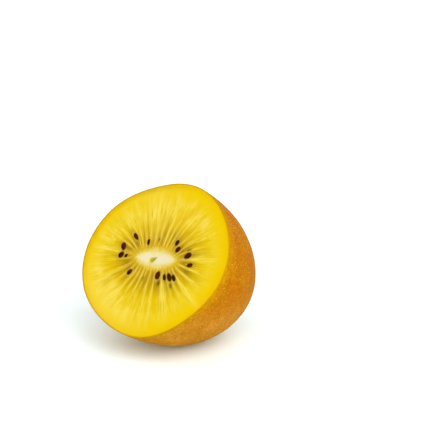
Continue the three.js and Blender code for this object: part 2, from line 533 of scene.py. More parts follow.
class Paint(Tree):
    """A material that is built from Python."""

    A_COLOUR, B_COLOUR, MIXED_COLOUR = 6, 7, 2

    def __init__(self, name: str) -> None:
        """Starts an empty material.

        Args:
            name: the material's name.
        """
        self.material = bpy.data.materials.new(name)
        self.material.use_nodes = True
        super().__init__(self.material.node_tree)

    def mark(self, name: str) -> Value:
        """A number that the mesh holds at each of its points."""
        return self.value(self.node("ShaderNodeAttribute", {"attribute_name": name}), "Fac")

    def mark_place(self, name: str) -> bpy.types.NodeSocket:
        """A place that the mesh holds at each of its points."""
        return self.node("ShaderNodeAttribute", {"attribute_name": name}).outputs["Vector"]

    def place(self) -> bpy.types.NodeSocket:
        """The place on the object, in its own frame."""
        return self.node("ShaderNodeTexCoord").outputs["Object"]

    def along(self, where: bpy.types.NodeSocket, direction: tuple[float, float, float]) -> Value:
        """How far a place lies along a direction, in the direction's own units."""
        settings = {"operation": "DOT_PRODUCT"}
        return self.value(self.node("ShaderNodeVectorMath", settings, {0: where, 1: direction}), "Value")

    def noise(self, where: bpy.types.NodeSocket, scale: float, detail: float = 2.0,
              rough: float = 0.5) -> Value:
        """Fractal noise from about 0 to 1, with its middle at a half."""
        sockets = {"Vector": where, "Scale": scale, "Detail": detail, "Roughness": rough}
        return self.value(self.node("ShaderNodeTexNoise", None, sockets), 0)

    def cells(self, where: bpy.types.NodeSocket, scale: float) -> Value:
        """Distance from the middle of each cell of a pattern of cells."""
        sockets = {"Vector": where, "Scale": scale}
        return self.value(self.node("ShaderNodeTexVoronoi", None, sockets), "Distance")

    def zones(self, number: Number, stops: Stops) -> bpy.types.NodeSocket:
        """A colour that follows a number through stops."""
        return self.node("ShaderNodeValToRGB", {"stops": stops}, {0: number}).outputs["Color"]

    def mix(self, share: Number, first: object, second: object) -> bpy.types.NodeSocket:
        """A colour between two others.

        Args:
            share: 0 gives the first colour and 1 the second.
            first: a colour or a colour socket.
            second: a colour or a colour socket.

        Returns:
            The mixed colour's socket.
        """
        first, second = ((*given, 1.0) if isinstance(given, tuple) else given for given in (first, second))
        sockets = {0: share, self.A_COLOUR: first, self.B_COLOUR: second}
        return self.node("ShaderNodeMix", {"data_type": "RGBA"}, sockets).outputs[self.MIXED_COLOUR]

    def coats(self, colour: object, *coats: tuple[Number, object]) -> bpy.types.NodeSocket:
        """Lays coats over a colour, one after another.

        Args:
            colour: the colour under them all.
            *coats: for each coat, how much of it shows and its colour.

        Returns:
            The last coat's socket.
        """
        for share, tint in coats:
            colour = self.mix(share, colour, tint)
        return colour

    def bump(self, height: Value, depth: float, strength: float) -> bpy.types.NodeSocket:
        """A surface normal that follows a height, whose unit is `depth` metres."""
        sockets = {"Height": height, "Distance": depth, "Strength": strength}
        return self.node("ShaderNodeBump", None, sockets).outputs[0]

    def finish(self, **sockets: object) -> bpy.types.Material:
        """Ends the material in a Principled surface.

        Args:
            **sockets: its inputs, with underscores for the spaces in their names.

        Returns:
            The material.
        """
        named = {name.replace("_", " "): given for name, given in sockets.items()}
        surface = self.node("ShaderNodeBsdfPrincipled", None, named)
        self.node("ShaderNodeOutputMaterial", None, {"Surface": surface.outputs[0]})
        return self.material


@dataclass(frozen=True)
class Coat:
    """A tint, and where it shows on what a number tells of the surface.

    Args:
        tint: its colour.
        low: the number at which it starts.
        high: the number at which it shows in full; it may be the smaller of the two.
        share: how much of it shows at most.
    """

    tint: Colour
    low: float
    high: float
    share: float = 1.0

    def on(self, paint: Paint, number: Number) -> tuple[Value, Colour]:
        """How much of the coat shows, and its tint."""
        return paint.ramp(number, self.low, self.high) * self.share, self.tint


class Growth(Tree):
    """A Geometry Nodes tree that grows a repeated shape on a piece."""

    def __init__(self, name: str) -> None:
        """Starts a tree that takes and gives geometry.

        Args:
            name: the tree's name.
        """
        self.group = bpy.data.node_groups.new(name, "GeometryNodeTree")
        super().__init__(self.group)
        self.group.interface.new_socket("Geometry", in_out="INPUT", socket_type="NodeSocketGeometry")
        self.group.interface.new_socket("Geometry", in_out="OUTPUT", socket_type="NodeSocketGeometry")
        self.sizes: dict[str, float] = {}

    def sized(self, **sizes: float) -> bpy.types.Node:
        """Adds a named input for each size and gives the tree's input node.

        Args:
            **sizes: the inputs' names, with underscores for spaces, and their values.

        Returns:
            The input node.
        """
        for name, size in sizes.items():
            kind = "NodeSocketInt" if isinstance(size, int) else "NodeSocketFloat"
            title = name.replace("_", " ")
            socket = self.group.interface.new_socket(title, in_out="INPUT", socket_type=kind)
            self.sizes[socket.identifier] = size
        return self.node("NodeGroupInput")

    def grow(self, carrier: bpy.types.Object, instances: bpy.types.Node, material: bpy.types.Material,
             name: str) -> bpy.types.Object:
        """Ends the tree and turns what it grows into a plain mesh.

        Args:
            carrier: the object that it grows on, which is removed.
            instances: the node that gives the instances.
            material: what they are made of.
            name: the new piece's name.

        Returns:
            The new piece.
        """
        whole = self.node("GeometryNodeRealizeInstances", None, {0: instances.outputs[0]})
        sockets = {"Geometry": whole.outputs[0], "Material": material}
        dressed = self.node("GeometryNodeSetMaterial", None, sockets)
        self.node("NodeGroupOutput", None, {0: dressed.outputs[0]})
        modifier = carrier.modifiers.new(name, "NODES")
        modifier.node_group = self.group
        for identifier, size in self.sizes.items():
            modifier[identifier] = size
        grown = carrier.evaluated_get(bpy.context.evaluated_depsgraph_get())
        mesh = bpy.data.meshes.new_from_object(grown)
        mesh.name = name
        mesh.materials.pop(index=0)
        carrier.modifiers.remove(modifier)
        bpy.data.objects.remove(carrier)
        return shown(name, mesh)


# --- Meshes -------------------------------------------------------------------------------


def shown(name: str, mesh: bpy.types.Mesh, material: bpy.types.Material | None = None) -> bpy.types.Object:
    """Puts a mesh in the scene as an object at the origin.

    Args:
        name: the object's name.
        mesh: the mesh.
        material: what it is made of, where the mesh doesn't hold that already.

    Returns:
        The object.
    """
    made = bpy.data.objects.new(name, mesh)
    if material:
        mesh.materials.append(material)
    bpy.context.scene.collection.objects.link(made)
    return made


def quads_between(rows: int, columns: int) -> np.ndarray:
    """Faces between rings of points that follow one another.

    Args:
        rows: how many rings there are.
        columns: how many points each ring has.

    Returns:
        The four points of each face, by their places in the rings.
    """
    side = np.arange(columns)
    beside = (side + 1) % columns
    start = columns * np.arange(rows - 1)[:, None]
    corners = (start + side, start + columns + side, start + columns + beside, start + beside)
    return np.stack(corners, axis=-1).reshape(-1, 4)


def held_on(marks: dict[str, np.ndarray], before: int, after: int) -> dict[str, np.ndarray]:
    """Gives rings before and after some others the marks of the ring nearest to them.

    Args:
        marks: the marks, each as rings by columns.
        before: how many rings come before them.
        after: how many rings come after them.

    Returns:
        The marks of all the rings.
    """
    return {
        title: np.concatenate([mark[:1].repeat(before, axis=0), mark, mark[-1:].repeat(after, axis=0)])
        for title, mark in marks.items()
    }


def keep(mesh: bpy.types.Mesh, title: str, marks: np.ndarray) -> None:
    """Keeps marks on a mesh's points.

    Args:
        mesh: the mesh.
        title: the marks' name.
        marks: a number or a place for each point.
    """
    kind, field_name = ("FLOAT", "value") if marks.ndim == 1 else ("FLOAT_VECTOR", "vector")
    held = mesh.attributes.new(title, kind, "POINT")
    held.data.foreach_set(field_name, marks.astype(np.float32).ravel())


@dataclass
class Rings:
    """A closed surface through rings of equal count, from one end point to the other.

    Its faces point outwards where the rings run anticlockwise, seen from its first end. Each end
    point gets the mean of the marks beside it.

    Args:
        points: the rings' points, as rings by columns by 3.
        first: the point that closes the surface before the first ring.
        last: the point that closes it after the last ring.
        marks: what the mesh holds at its points: numbers, as rings by columns, or places.
    """

    points: np.ndarray
    first: np.ndarray
    last: np.ndarray
    marks: dict[str, np.ndarray]

    def mesh(self, name: str) -> bpy.types.Mesh:
        """Makes the mesh, smooth, with its marks.

        Args:
            name: the mesh's name.

        Returns:
            The mesh.
        """
        rows, columns, _ = self.points.shape
        side = np.arange(columns)
        beside = (side + 1) % columns
        quads = 1 + quads_between(rows, columns)
        end = 1 + columns * (rows - 1)
        last = 1 + columns * rows
        opening = np.stack([np.zeros_like(side), 1 + side, 1 + beside], axis=-1)
        closing = np.stack([end + side, np.full_like(side, last), end + beside], axis=-1)
        faces = [*opening.tolist(), *quads.tolist(), *closing.tolist()]
        mesh = bpy.data.meshes.new(name)
        mesh.from_pydata(np.concatenate([[self.first], self.points.reshape(-1, 3), [self.last]]), [], faces)
        mesh.shade_smooth()
        for title, marks in self.marks.items():
            flat = marks.reshape(-1, *marks.shape[2:])
            before, after = (ring.mean(axis=0, keepdims=True) for ring in (marks[0], marks[-1]))
            keep(mesh, title, np.concatenate([before, flat, after]))
        return mesh


def ripple(points: np.ndarray, scale: float) -> np.ndarray:
    """Smooth random heights from about -1 to 1 at places, with about `scale` bumps to a metre."""
    flat = points.reshape(-1, 3) * scale
    return np.array([noise.noise(Vector(place)) for place in flat]).reshape(points.shape[:-1])


def smooth_step(number: np.ndarray, low: float, high: float) -> np.ndarray:
    """0 where the number is at `low`, 1 where it is at `high`, with a smooth way between."""
    share = ((number - low) / (high - low)).clip(0, 1)
    return share * share * (3 - 2 * share)


# --- The cut face's pattern ---------------------------------------------------------------


@dataclass(frozen=True)
class CreamForm:
    """The cream heart of the cut face: a soft-edged spindle that spreads a little past the core."""

    half_length: float = 7.2 * MM
    half_height: float = 2.7 * MM
    centre: tuple[float, float] = (0.55 * MM, 0.1 * MM)
    turn: float = 6.0
    power: float = 1.7
    least_spread: float = 1e-6

    def outside(self, across: np.ndarray, up: np.ndarray) -> np.ndarray:
        """How far places lie outside the spindle's edge.

        Args:
            across: how far across the face each place is.
            up: how far up it each place is.

        Returns:
            The distances in metres, less than 0 inside the edge.
        """
        along, aside = along_and_aside(across, up, self.centre, math.radians(self.turn))
        spread = np.abs(along / self.half_length) ** self.power
        spread += np.abs(aside / self.half_height) ** self.power
        share = np.maximum(spread, self.least_spread) ** (1 / self.power)
        return np.hypot(along, aside) * (1 - 1 / share)


@dataclass(frozen=True)
class CutPattern:
    """What the cut face shows, place by place: rays, pockets, seed beds and the cream heart."""

    core: CoreForm
    seeds: tuple[Seed, ...]
    ghosts: tuple[Seed, ...]
    rays: tuple[Ray, ...]
    olives: tuple[Patch, ...]
    ambers: tuple[Patch, ...]
    pales: tuple[Patch, ...]
    cream: CreamForm = CreamForm()
    pocket_clearance: float = 3.2
    ray_starts: Band = (0.0, 0.14)
    ray_fade: Band = (-0.35, 0.15)
    pocket_starts: Band = (0.03, 0.16)
    pocket_near: Band = (0.15, 0.5)
    pocket_near_share: float = 0.65
    pocket_fade: Band = (-0.25, 0.05)
    heart_run: float = 0.1
    grain_stretch: float = 0.12

    def rays_and_pockets(self, bearing: np.ndarray, outward: np.ndarray) -> tuple[np.ndarray, np.ndarray]:
        """The pale rays and the darker pockets between them.

        Args:
            bearing: each place's bearing.
            outward: how far out each place is, from 0 at the core to 1 at the peel.

        Returns:
            The rays' and the pockets' strengths.
        """
        rows = np.array([astuple(ray) for ray in self.rays])
        degrees = np.degrees(bearing) % 360
        before = (np.searchsorted(rows[:, 0], degrees) - 1) % len(rows)
        after = (before + 1) % len(rows)
        since, until = (degrees - rows[before, 0]) % 360, (rows[after, 0] - degrees) % 360
        off = np.minimum(since, until)
        _, strength, reach, _, _, breadth = np.moveaxis(rows[np.where(since < until, before, after)], -1, 0)
        _, _, _, pocket, pocket_reach, _ = np.moveaxis(rows[before], -1, 0)
        rays = strength * np.exp(-((off / breadth) ** 2))
        rays *= smooth_step(outward, *self.ray_starts) * (1 - smooth_step(outward - reach, *self.ray_fade))
        near = self.pocket_near_share * (1 - smooth_step(outward, *self.pocket_near))
        far = (1 - self.pocket_near_share) * (1 - smooth_step(outward - pocket_reach, *self.pocket_fade))
        pockets = pocket * (near + far) * (1 - np.exp(-((off / self.pocket_clearance) ** 2)))
        return rays, pockets * smooth_step(outward, *self.pocket_starts)

    def marks(self, across: np.ndarray, up: np.ndarray, outward: np.ndarray) -> dict[str, np.ndarray]:
        """Everything that the finishes read from the cut face.

        Args:
            across: how far across the face each place is.
            up: how far up it each place is.
            outward: how far out each place is, from 0 at the core to 1 at the peel.

        Returns:
            The marks by name. Inside the core, outward runs below 0.
        """
        bearing, out = self.core.bearing_at(across, up)
        inside = (out / self.core.edge).clip(0, 1)
        outward = np.where(inside < 1, self.heart_run * (inside - 1), outward)
        rays, pockets = self.rays_and_pockets(bearing, outward)
        bed = np.min([seed.away(self.core, across, up) for seed in self.seeds], axis=0)
        hidden = [seed.strength * np.exp(-(seed.away(self.core, across, up) ** 2)) for seed in self.ghosts]
        grain = (np.cos(bearing), np.sin(bearing) * inside, outward * self.grain_stretch)
        return {
            "outward": outward,
            "ray": rays,
            "pocket": pockets,
            "olive": np.sum([patch.share(bearing, outward) for patch in self.olives], axis=0),
            "amber": np.sum([patch.share(bearing, outward) for patch in self.ambers], axis=0),
            "pale": np.sum([patch.share(bearing, outward) for patch in self.pales], axis=0),
            "bed": bed,
            "ghost": np.max(hidden, axis=0),
            "cream": self.cream.outside(across, up) / MM,
            "grain": np.stack(grain, axis=-1),
        }


# --- Finishes -----------------------------------------------------------------------------


@dataclass(frozen=True)
class SkinFinish:
    """Thin golden-brown peel, mottled and faintly downy, with a dark pit in its stem scar. Its blush towards
    the top is partly real and partly painted shade, and a band just behind its cut edge is painted shade.
    """

    # The base colour's blue is raised a little as painted reflection of the pale floor on the lower peel.
    orange: Colour = (0.620, 0.292, 0.0330)
    # Blush, partly real and partly painted shade: the peel grows darker and redder towards the top.
    blush_and_shade: Coat = Coat((0.408, 0.118, 0.0003), 0.4, 1.12)
    blush_and_shade_patches: float = 0.5
    brown: Colour = (0.410, 0.172, 0.0015)
    brown_share: float = 0.5
    brown_patches: Band = (0.42, 0.60)
    brown_clouds: Band = (0.45, 0.62)
    umber: Coat = Coat((0.230, 0.066, 0.0005), 0.54, 0.72, 0.65)
    vein_share: float = 0.45
    vein_starts: Band = (0.40, 0.48)
    vein_ends: Band = (0.56, 0.49)
    fleck: Coat = Coat((0.630, 0.300, 0.0040), 0.34, 0.08, 0.5)
    mustard: Coat = Coat((0.500, 0.252, 0.0003), 6.0, 1.5, 0.75)
    mustard_clouds: float = 3.0
    # Painted shade: a darker band on the peel just behind its cut edge.
    shade: Coat = Coat((0.330, 0.170, 0.0003), 1.1, 0.3, 0.35)
    lip: Coat = Coat((0.430, 0.235, 0.0010), 0.22, 0.06)
    pit: Coat = Coat((0.027, 0.0127, 0.0054), 2.6, 1.4)
    blush_and_shade_side: tuple[float, float, float] = (8.0, 0.0, 30.0)
    patch_scale: float = 115.0
    cloud_scale: float = 420.0
    mottle_scale: float = 640.0
    mottle_roughness: float = 0.6
    fleck_scale: float = 950.0
    mottle_relief: float = 0.6
    fleck_relief: float = 0.5
    relief_depth: float = 0.06 * MM
    relief_strength: float = 0.6
    down_tint: Colour = (1.0, 0.72, 0.45)

    def material(self) -> bpy.types.Material:
        """Makes the material.

        Returns:
            The material.
        """
        paint = Paint("skin")
        where = paint.place()
        patches = paint.noise(where, self.patch_scale)
        clouds = paint.noise(where, self.cloud_scale, FINE_DETAIL)
        mottle = paint.noise(where, self.mottle_scale, FINE_DETAIL, self.mottle_roughness)
        flecks = paint.cells(where, self.fleck_scale)
        # How far up the peel a place is; the blush and its painted shade grow with it.
        upward = paint.along(where, self.blush_and_shade_side)
        mouth, tip = paint.mark("mouth"), paint.mark("tip")
        veins = paint.ramp(mottle, *self.vein_starts) * paint.ramp(mottle, *self.vein_ends)
        relief = mottle * self.mottle_relief - flecks * self.fleck_relief
        colour = paint.coats(
            self.orange,
            self.blush_and_shade.on(paint, upward + patches * self.blush_and_shade_patches),
            (paint.ramp(patches, *self.brown_patches) * self.brown_share, self.brown),
            self.mustard.on(paint, mouth + clouds * self.mustard_clouds),
            (paint.ramp(clouds, *self.brown_clouds) * self.brown_share, self.brown),
            (veins * self.vein_share, self.umber.tint),
            self.umber.on(paint, mottle),
            self.fleck.on(paint, flecks),
            # Painted shade: a darker band on the peel just behind its cut edge.
            self.shade.on(paint, mouth),
            self.lip.on(paint, mouth),
            self.pit.on(paint, tip + mottle),
        )
        return paint.finish(
            Base_Color=colour,
            Roughness=0.45 + mottle * 0.3,
            Normal=paint.bump(relief, self.relief_depth, self.relief_strength),
            Sheen_Weight=0.015,
            Sheen_Roughness=0.15,
            Sheen_Tint=(*self.down_tint, 1.0),
            Specular_IOR_Level=0.01,
        )


@dataclass(frozen=True)
class SpeckFinish:
    """The pale corky dots that stand on the peel."""

    pale: Colour = (0.640, 0.335, 0.0250)
    tan: Colour = (0.470, 0.210, 0.0080)
    tones: Band = (0.65, 1.3)
    tone_scale: float = 420.0
    sunny_side: tuple[float, float, float] = (6.0, 0.0, 14.0)

    def material(self) -> bpy.types.Material:
        """Makes the material.

        Returns:
            The material.
        """
        paint = Paint("specks")
        where = paint.place()
        tone = paint.noise(where, self.tone_scale)
        upward = paint.along(where, self.sunny_side)
        return paint.finish(
            Base_Color=paint.mix(paint.ramp(tone + upward, *self.tones), self.tan, self.pale),
            Roughness=0.7 - tone * 0.1,
            Specular_IOR_Level=0.02,
        )


@dataclass(frozen=True)
class CutFinish:
    """Moist golden tissue, as the cut shows it from the cream heart out to the peel.

    The flesh and the core share it, so that their seam doesn't show. The ring holds the pockets and
    their threads; the band is the paler tissue farther out. A Line turns noise into how strongly a
    mark shows.
    """

    ground: Stops = (
        (0.00, (0.41, 0.31, 0.02)),
        (0.15, (0.36, 0.18, 0.0)),
        (0.30, (0.44, 0.27, 0.0)),
        (0.50, (0.51, 0.34, 0.0)),
        (0.70, (0.55, 0.39, 0.01)),
        (0.90, (0.56, 0.38, 0.0)),
        (1.00, (0.56, 0.34, 0.0)),
    )
    heart: Stops = (
        (0.0, (0.45, 0.28, 0.01)),
        (0.3, (0.50, 0.36, 0.04)),
        (0.6, (0.56, 0.46, 0.18)),
        (1.0, (0.55, 0.48, 0.32)),
    )
    ray: Colour = (0.610, 0.470, 0.048)
    pocket: Colour = (0.216, 0.129, 0.0017)
    olive: Colour = (0.138, 0.100, 0.0026)
    amber: Colour = (0.501, 0.277, 0.0034)
    cloud: Coat = Coat((0.596, 0.450, 0.056), 0.76, 1.04, 0.9)
    honey: Coat = Coat((0.512, 0.336, 0.0010), 0.80, 0.58, 0.5)
    halo: Coat = Coat((0.560, 0.350, 0.070), 2.0, 1.6, 0.4)
    halo_fibres: Band = (0.45, 0.6)
    stain: Coat = Coat((0.104, 0.048, 0.0026), 1.36, 1.02, 0.75)
    ghost: Colour = (0.087, 0.039, 0.0026)
    ground_drift: float = 0.12
    ring_starts: Band = (0.02, 0.12)
    ring_ends: Band = (0.98, 0.5)
    band_starts: Band = (0.38, 0.58)
    band_ends: Band = (0.98, 0.62)
    pale_threads: Band = (0.52, 0.74)
    pale_thread_share: float = 0.5
    dark_threads: Band = (0.46, 0.24)
    dark_thread_share: float = 0.35
    bed_shade: Band = (2.6, 1.4)
    bed_share: float = 0.3
    wisp_parts: tuple[float, float, float] = (0.6, 0.8, 0.25)
    pale_clouds: Line = (0.8, 0.6)
    olive_fibres: Line = (1.6, -0.1)
    pocket_fibres: Line = (1.6, -0.05)
    ray_threads: Line = (1.1, 0.2)
    cream_parts: tuple[float, float, float] = (1.6, 2.2, 1.8)
    cream_starts: float = 1.5
    cream_ends: float = -2.4
    cream_edge: Band = (0.0, 0.3)
    cloud_scale: float = 260.0
    cell_scale: float = 1100.0
    fibre_scale: float = 11.0
    thread_scale: float = 40.0

    def dress(self, paint: Paint) -> tuple[bpy.types.NodeSocket, Value, Value]:
        """Adds the tissue's pattern to a material.

        Args:
            paint: the material.

        Returns:
            Its colour, the height of its relief and its roughness.
        """
        where, grain = paint.place(), paint.mark_place("grain")
        cloud = paint.noise(where, self.cloud_scale, FINE_DETAIL)
        cell = paint.noise(where, self.cell_scale, FINE_DETAIL)
        fibre = paint.noise(grain, self.fibre_scale)
        thread = paint.noise(grain, self.thread_scale)
        outward = paint.mark("outward")
        ring = paint.ramp(outward, *self.ring_starts) * paint.ramp(outward, *self.ring_ends)
        band = paint.ramp(outward, *self.band_starts) * paint.ramp(outward, *self.band_ends)
        colour = paint.zones(outward + (cloud - 0.5) * self.ground_drift, self.ground)
        clouds, fibres, threads = self.wisp_parts
        wisp = cloud * clouds + fibre * fibres + thread * threads
        cloudy, cloud_tint = self.cloud.on(paint, wisp)
        honeyed, honey_tint = self.honey.on(paint, wisp)
        bed = paint.mark("bed")
        haloed, halo_tint = self.halo.on(paint, bed)
        colour = paint.coats(
            colour,
            (band * cloudy + paint.mark("pale") * cloud.on_line(*self.pale_clouds), cloud_tint),
            (band * honeyed, honey_tint),
            (paint.mark("amber"), self.amber),
            (paint.mark("olive") * fibre.on_line(*self.olive_fibres), self.olive),
            (paint.mark("pocket") * fibre.on_line(*self.pocket_fibres), self.pocket),
            (paint.mark("ray") * thread.on_line(*self.ray_threads), self.ray),
            (paint.ramp(thread, *self.pale_threads) * ring * self.pale_thread_share, self.ray),
            (paint.ramp(thread, *self.dark_threads) * ring * self.dark_thread_share, self.pocket),
            (paint.ramp(bed, *self.bed_shade) * self.bed_share, self.olive),
            (paint.ramp(fibre, *self.halo_fibres) * haloed, halo_tint),
            self.stain.on(paint, bed),
            (paint.mark("ghost"), self.ghost),
        )
        reach = paint.mark("cream")
        for part, size in zip((fibre, thread, cell), self.cream_parts):
            reach += (0.5 - part) * size
        cream = (self.cream_starts - reach) / (self.cream_starts - self.cream_ends)
        colour = paint.mix(paint.ramp(cream, *self.cream_edge), colour, paint.zones(cream, self.heart))
        return colour, cell * 0.5 + thread * 0.5, 0.32 + cell * 0.2


@dataclass(frozen=True)
class FleshFinish:
    """The golden flesh, a little translucent."""

    cut: CutFinish = CutFinish()
    relief_depth: float = 0.08 * MM
    relief_strength: float = 0.5

    def material(self) -> bpy.types.Material:
        """Makes the material.

        Returns:
            The material.
        """
        paint = Paint("flesh")
        colour, height, roughness = self.cut.dress(paint)
        return paint.finish(
            Base_Color=colour,
            Roughness=roughness,
            Normal=paint.bump(height, self.relief_depth, self.relief_strength),
            Subsurface_Weight=0.1,
            Subsurface_Radius=(1.0, 0.6, 0.1),
            Subsurface_Scale=1.2 * MM,
            Specular_IOR_Level=0.015,
        )


@dataclass(frozen=True)
class CoreFinish:
    """The core: cream in its middle, golden at its ends, with a greenish pit."""

    cut: CutFinish = CutFinish()
    brim: Coat = Coat((0.56, 0.46, 0.09), 0.02, 0.3, 0.8)
    pit: Coat = Coat((0.290, 0.249, 0.0199), 0.2, 0.85)
    pit_mottle: Line = (0.6, 0.7)
    relief_depth: float = 0.05 * MM
    relief_strength: float = 0.5

    def material(self) -> bpy.types.Material:
        """Makes the material.

        Returns:
            The material.
        """
        paint = Paint("core")
        colour, height, roughness = self.cut.dress(paint)
        mottle = paint.noise(paint.place(), self.cut.cell_scale, FINE_DETAIL)
        pit = paint.mark("pit") * mottle.on_line(*self.pit_mottle)
        colour = paint.coats(colour, self.brim.on(paint, pit), self.pit.on(paint, pit))
        return paint.finish(
            Base_Color=colour,
            Roughness=roughness,
            Normal=paint.bump(height, self.relief_depth, self.relief_strength),
            Subsurface_Weight=0.1,
            Subsurface_Radius=(1.0, 0.9, 0.6),
            Subsurface_Scale=1.2 * MM,
            Specular_IOR_Level=0.015,
        )


@dataclass(frozen=True)
class SeedFinish:
    """Near-black maroon seeds, finely netted and moist."""

    dark: Colour = (0.030, 0.0042, 0.0002)
    maroon: Colour = (0.062, 0.0095, 0.0002)
    tones: Band = (0.35, 0.65)
    tone_scale: float = 700.0
    net_scale: float = 4200.0
    relief_depth: float = 0.03 * MM
    relief_strength: float = 0.6
    veiled: Colour = (0.030, 0.0090, 0.0001)

    def material(self) -> bpy.types.Material:
        """Makes the material.

        Returns:
            The material.
        """
        paint = Paint("seed")
        where = paint.place()
        tone = paint.noise(where, self.tone_scale)
        net = paint.cells(where, self.net_scale)
        colour = paint.mix(paint.ramp(tone, *self.tones), self.dark, self.maroon)
        return paint.finish(
            Base_Color=paint.mix(paint.mark("veil"), colour, self.veiled),
            Roughness=0.35 + tone * 0.15,
            Normal=paint.bump(net, self.relief_depth, self.relief_strength),
            Specular_IOR_Level=0.004,
        )


# --- The half's pieces --------------------------------------------------------------------


@dataclass
class Skin:
    """The peel: a thin cup with its lip in the cut plane and the stem scar at its end."""

    form: FruitForm
    finish: SkinFinish = SkinFinish()
    relief_room: float = 0.12 * MM
    thickness: float = 0.22 * MM
    lip_radius: float = 0.07 * MM
    lip_rings: int = 4
    columns: int = 320
    side_rings: int = 110
    end_rings: int = 34
    end_zone: float = 80.0
    inner_rings: int = 24
    wave_scale: float = 140.0
    wave_height: float = 0.06 * MM
    grain_scale: float = 700.0
    grain_height: float = 0.018 * MM

    def profiles(self) -> np.ndarray:
        """Profile angles of the outer rings, closer together towards the scar."""
        side = np.linspace(0, math.radians(self.end_zone), self.side_rings, endpoint=False)
        end = np.linspace(math.radians(self.end_zone), math.pi / 2, self.end_rings, endpoint=False)
        return np.concatenate([side, end])

    def angles(self) -> np.ndarray:
        """Angles of the columns round the fruit."""
        return TURN * np.arange(self.columns)[None, :] / self.columns

    def outside(self) -> np.ndarray:
        """Works out the outer surface, with its low waves and grain.

        Returns:
            The points, as rings by columns by 3.
        """
        profile = self.profiles()[:, None]
        smooth = self.form.layer(self.angles(), profile, self.relief_room, 0.0)
        relief = self.wave_height * ripple(smooth, self.wave_scale)
        relief += self.grain_height * ripple(smooth, self.grain_scale)
        return self.form.layer(self.angles(), profile, self.relief_room - relief, 0.0)

    def build(self) -> bpy.types.Object:
        """Makes the piece.

        Returns:
            The skin's object.
        """
        outer = self.outside()
        inset = self.relief_room + self.thickness
        inner_profile = np.linspace(math.pi / 2, 0, self.inner_rings + 1)[1:, None]
        inner = self.form.layer(self.angles(), inner_profile, inset, self.thickness)
        bend = np.linspace(0, math.pi / 2, self.lip_rings)[:, None, None]
        into = outer[1] - outer[0]
        into /= np.linalg.norm(into, axis=-1, keepdims=True)
        inward = inner[-1] - outer[0]
        inward /= np.linalg.norm(inward, axis=-1, keepdims=True)
        lip = outer[0] + self.lip_radius * (inward * (1 - np.sin(bend)) + into * (1 - np.cos(bend)))
        points = np.concatenate([inner, lip, outer[1:]])
        first = self.form.layer(0.0, math.pi / 2, inset, self.thickness)
        last = self.form.layer(0.0, math.pi / 2, self.relief_room, 0.0)
        from_centre = points - np.array(self.form.face_centre)
        deep = from_centre @ self.form.deep
        radius = np.hypot(from_centre @ self.form.across, from_centre @ self.form.up)
        far = np.where(deep > self.form.half_length / 2, radius, self.form.half_length)
        rings = Rings(points, first, last, {"mouth": deep / MM, "tip": far / MM})
        skin = shown("skin_peel", rings.mesh("skin_peel"), self.finish.material())
        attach(skin, BODY)
        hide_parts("skin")
        return skin


@dataclass
class Specks:
    """The corky dots all over the peel, grown on it by Geometry Nodes."""

    skin: Skin
    finish: SpeckFinish = SpeckFinish()
    spacing: float = 0.9 * MM
    to_a_square_metre: float = 0.55e6
    radius: float = 0.2 * MM
    flatness: float = 0.3
    smallest: float = 0.4
    largest: float = 1.2
    seed: int = 11
    first_ring: int = 3
    floor_clearance: float = 0.3 * MM

    def carrier(self) -> bpy.types.Object:
        """Makes what the dots grow on: the peel's outer surface, without the spot it rests on.

        Returns:
            The carrier, which is removed once the dots have grown.
        """
        points = self.skin.outside()[self.first_ring:-self.skin.end_rings // 2]
        quads = quads_between(*points.shape[:2])
        height = points.reshape(-1, 3)[quads, 2].min(axis=1)
        mesh = bpy.data.meshes.new("speck_carrier")
        mesh.from_pydata(points.reshape(-1, 3), [], quads[height > self.floor_clearance].tolist())
        return shown("speck_carrier", mesh)

    def build(self) -> bpy.types.Object:
        """Makes the piece.

        Returns:
            The dots' object.
        """
        tree = Growth("specks")
        sizes = tree.sized(Spacing=self.spacing, Density=self.to_a_square_metre, Radius=self.radius,
                           Flatness=self.flatness, Smallest=self.smallest, Largest=self.largest,
                           Seed=self.seed)
        spots = tree.node("GeometryNodeDistributePointsOnFaces", {"distribute_method": "POISSON"}, {
            "Mesh": sizes.outputs["Geometry"],
            "Distance Min": sizes.outputs["Spacing"],
            "Density Max": sizes.outputs["Density"],
            "Seed": sizes.outputs["Seed"],
        })
        dot = tree.node("GeometryNodeMeshIcoSphere", None, {"Radius": sizes.outputs["Radius"]})
        smooth = tree.node("GeometryNodeSetShadeSmooth", None, {"Geometry": dot.outputs["Mesh"]})
        swell = tree.node("FunctionNodeRandomValue", {"data_type": "FLOAT"}, {
            2: sizes.outputs["Smallest"], 3: sizes.outputs["Largest"], "Seed": sizes.outputs["Seed"],
        })
        broad = tree.value(swell, 1)
        shape = tree.node("ShaderNodeCombineXYZ", None, {
            0: broad, 1: broad, 2: tree.value(sizes, "Flatness"),
        })
        placed = tree.node("GeometryNodeInstanceOnPoints", None, {
            "Points": spots.outputs["Points"],
            "Instance": smooth.outputs[0],
            "Rotation": spots.outputs["Rotation"],
            "Scale": shape.outputs[0],
        })
        specks = tree.grow(self.carrier(), placed, self.finish.material(), "skin_specks")
        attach(specks, BODY)
        return specks


